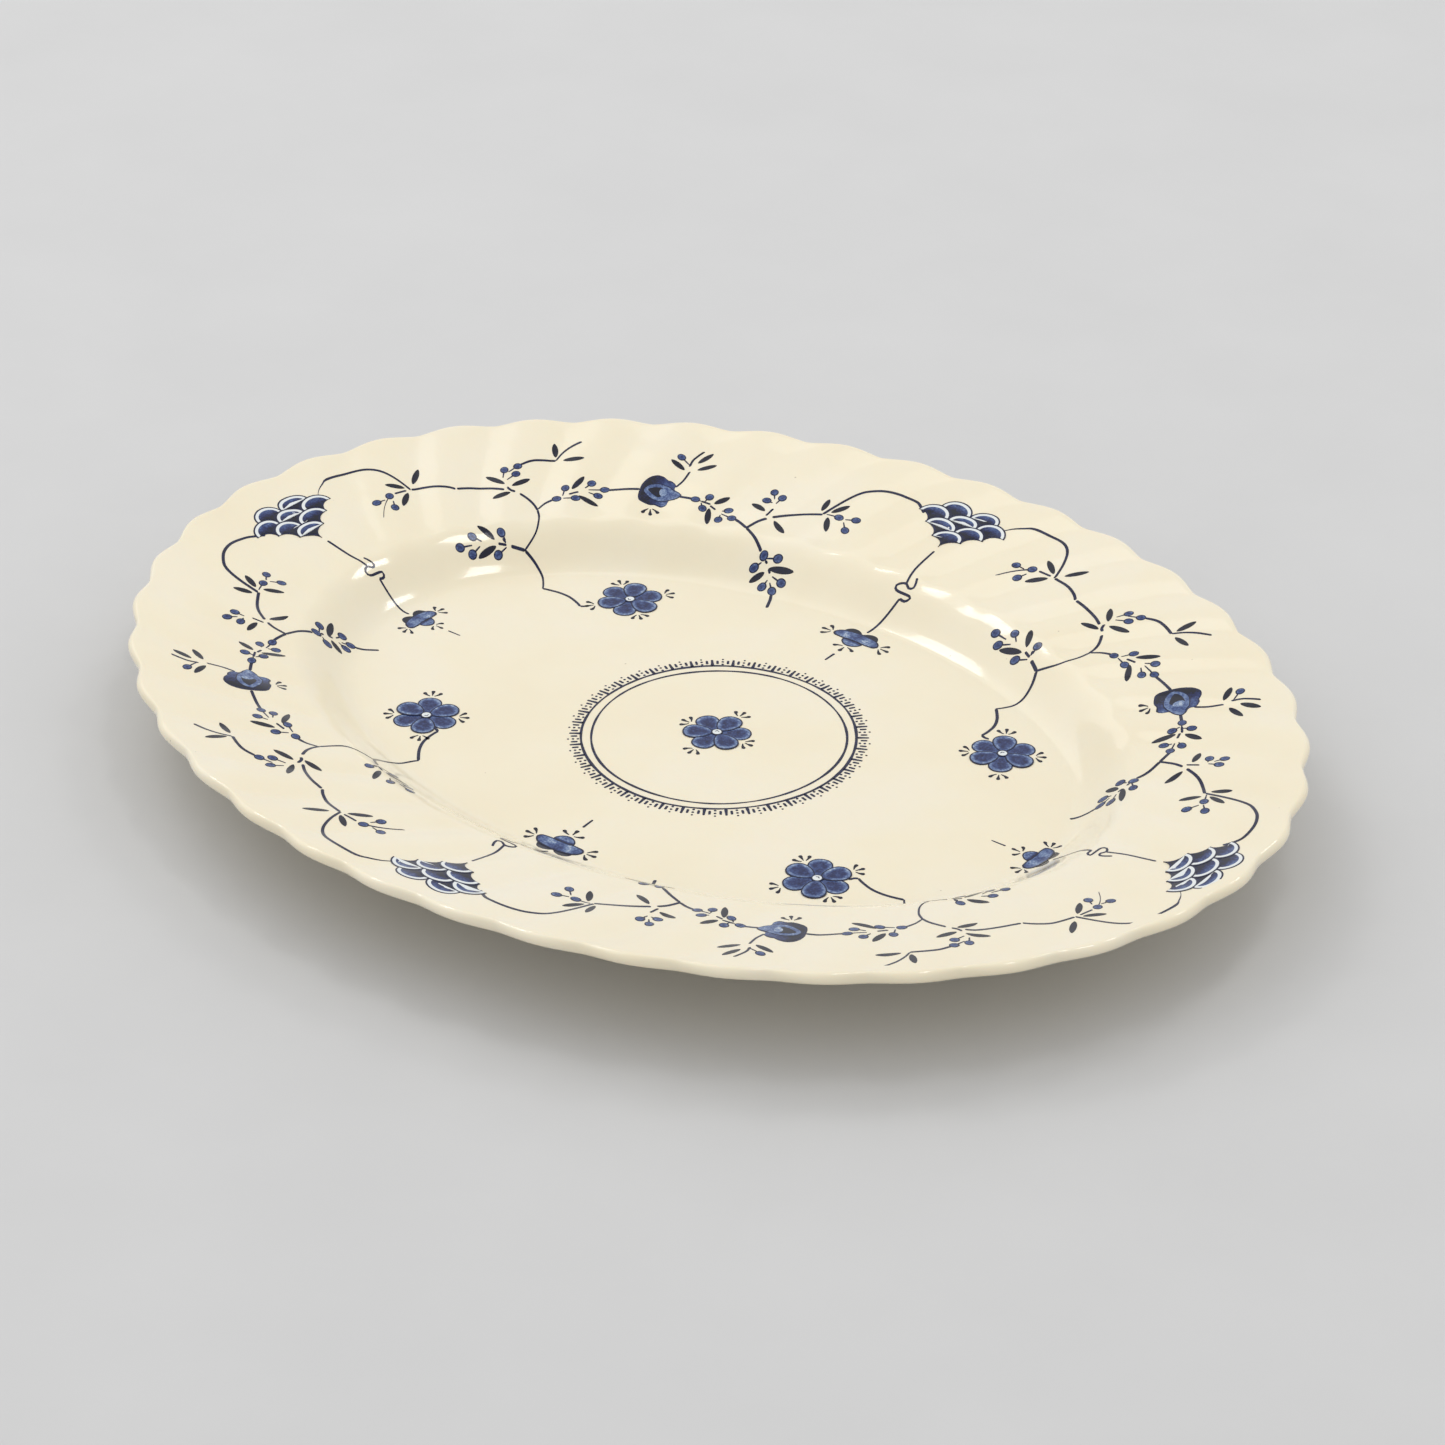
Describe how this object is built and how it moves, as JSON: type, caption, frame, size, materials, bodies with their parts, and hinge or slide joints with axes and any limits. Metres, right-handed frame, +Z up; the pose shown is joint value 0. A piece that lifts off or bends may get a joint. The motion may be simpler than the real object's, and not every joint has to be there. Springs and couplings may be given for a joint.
{
  "type": "china serving platter",
  "caption": "Oval serving platter with a swirled fluted rim, a flat well, a foot ring and a blue printed vine and flower pattern on cream ware.",
  "frame": {"origin": "middle of the foot ring's resting face, on the table, under the middle of the platter", "axes": "+X along the long axis, +Y along the short axis, +Z up out of the well"},
  "size_m": [0.3048, 0.2408, 0.026],
  "materials": {
    "cream_glaze": "warm cream earthenware under a clear gloss glaze",
    "navy_print": "dark navy printed line under the same gloss glaze",
    "blue_print": "stippled mid-blue print with navy outlines under the same gloss glaze"
  },
  "bodies": {
    "root": {"earthenware_body": "cream_glaze", "centre_ring_print": "navy_print", "centre_flower_print": "blue_print", "well_flower_print_1": "blue_print", "well_flower_print_2": "blue_print", "well_flower_print_3": "blue_print", "well_flower_print_4": "blue_print", "side_flower_print_1": "blue_print", "side_flower_print_2": "blue_print", "side_flower_print_3": "blue_print", "side_flower_print_4": "blue_print", "scale_panel_print_1": "blue_print", "scale_panel_print_2": "blue_print", "scale_panel_print_3": "blue_print", "scale_panel_print_4": "blue_print", "rose_print_1": "blue_print", "rose_print_2": "blue_print", "rose_print_3": "blue_print", "rose_print_4": "blue_print", "vine_print_1": "navy_print", "vine_print_2": "navy_print", "vine_print_3": "navy_print", "vine_print_4": "navy_print"}
  },
  "joints": []
}
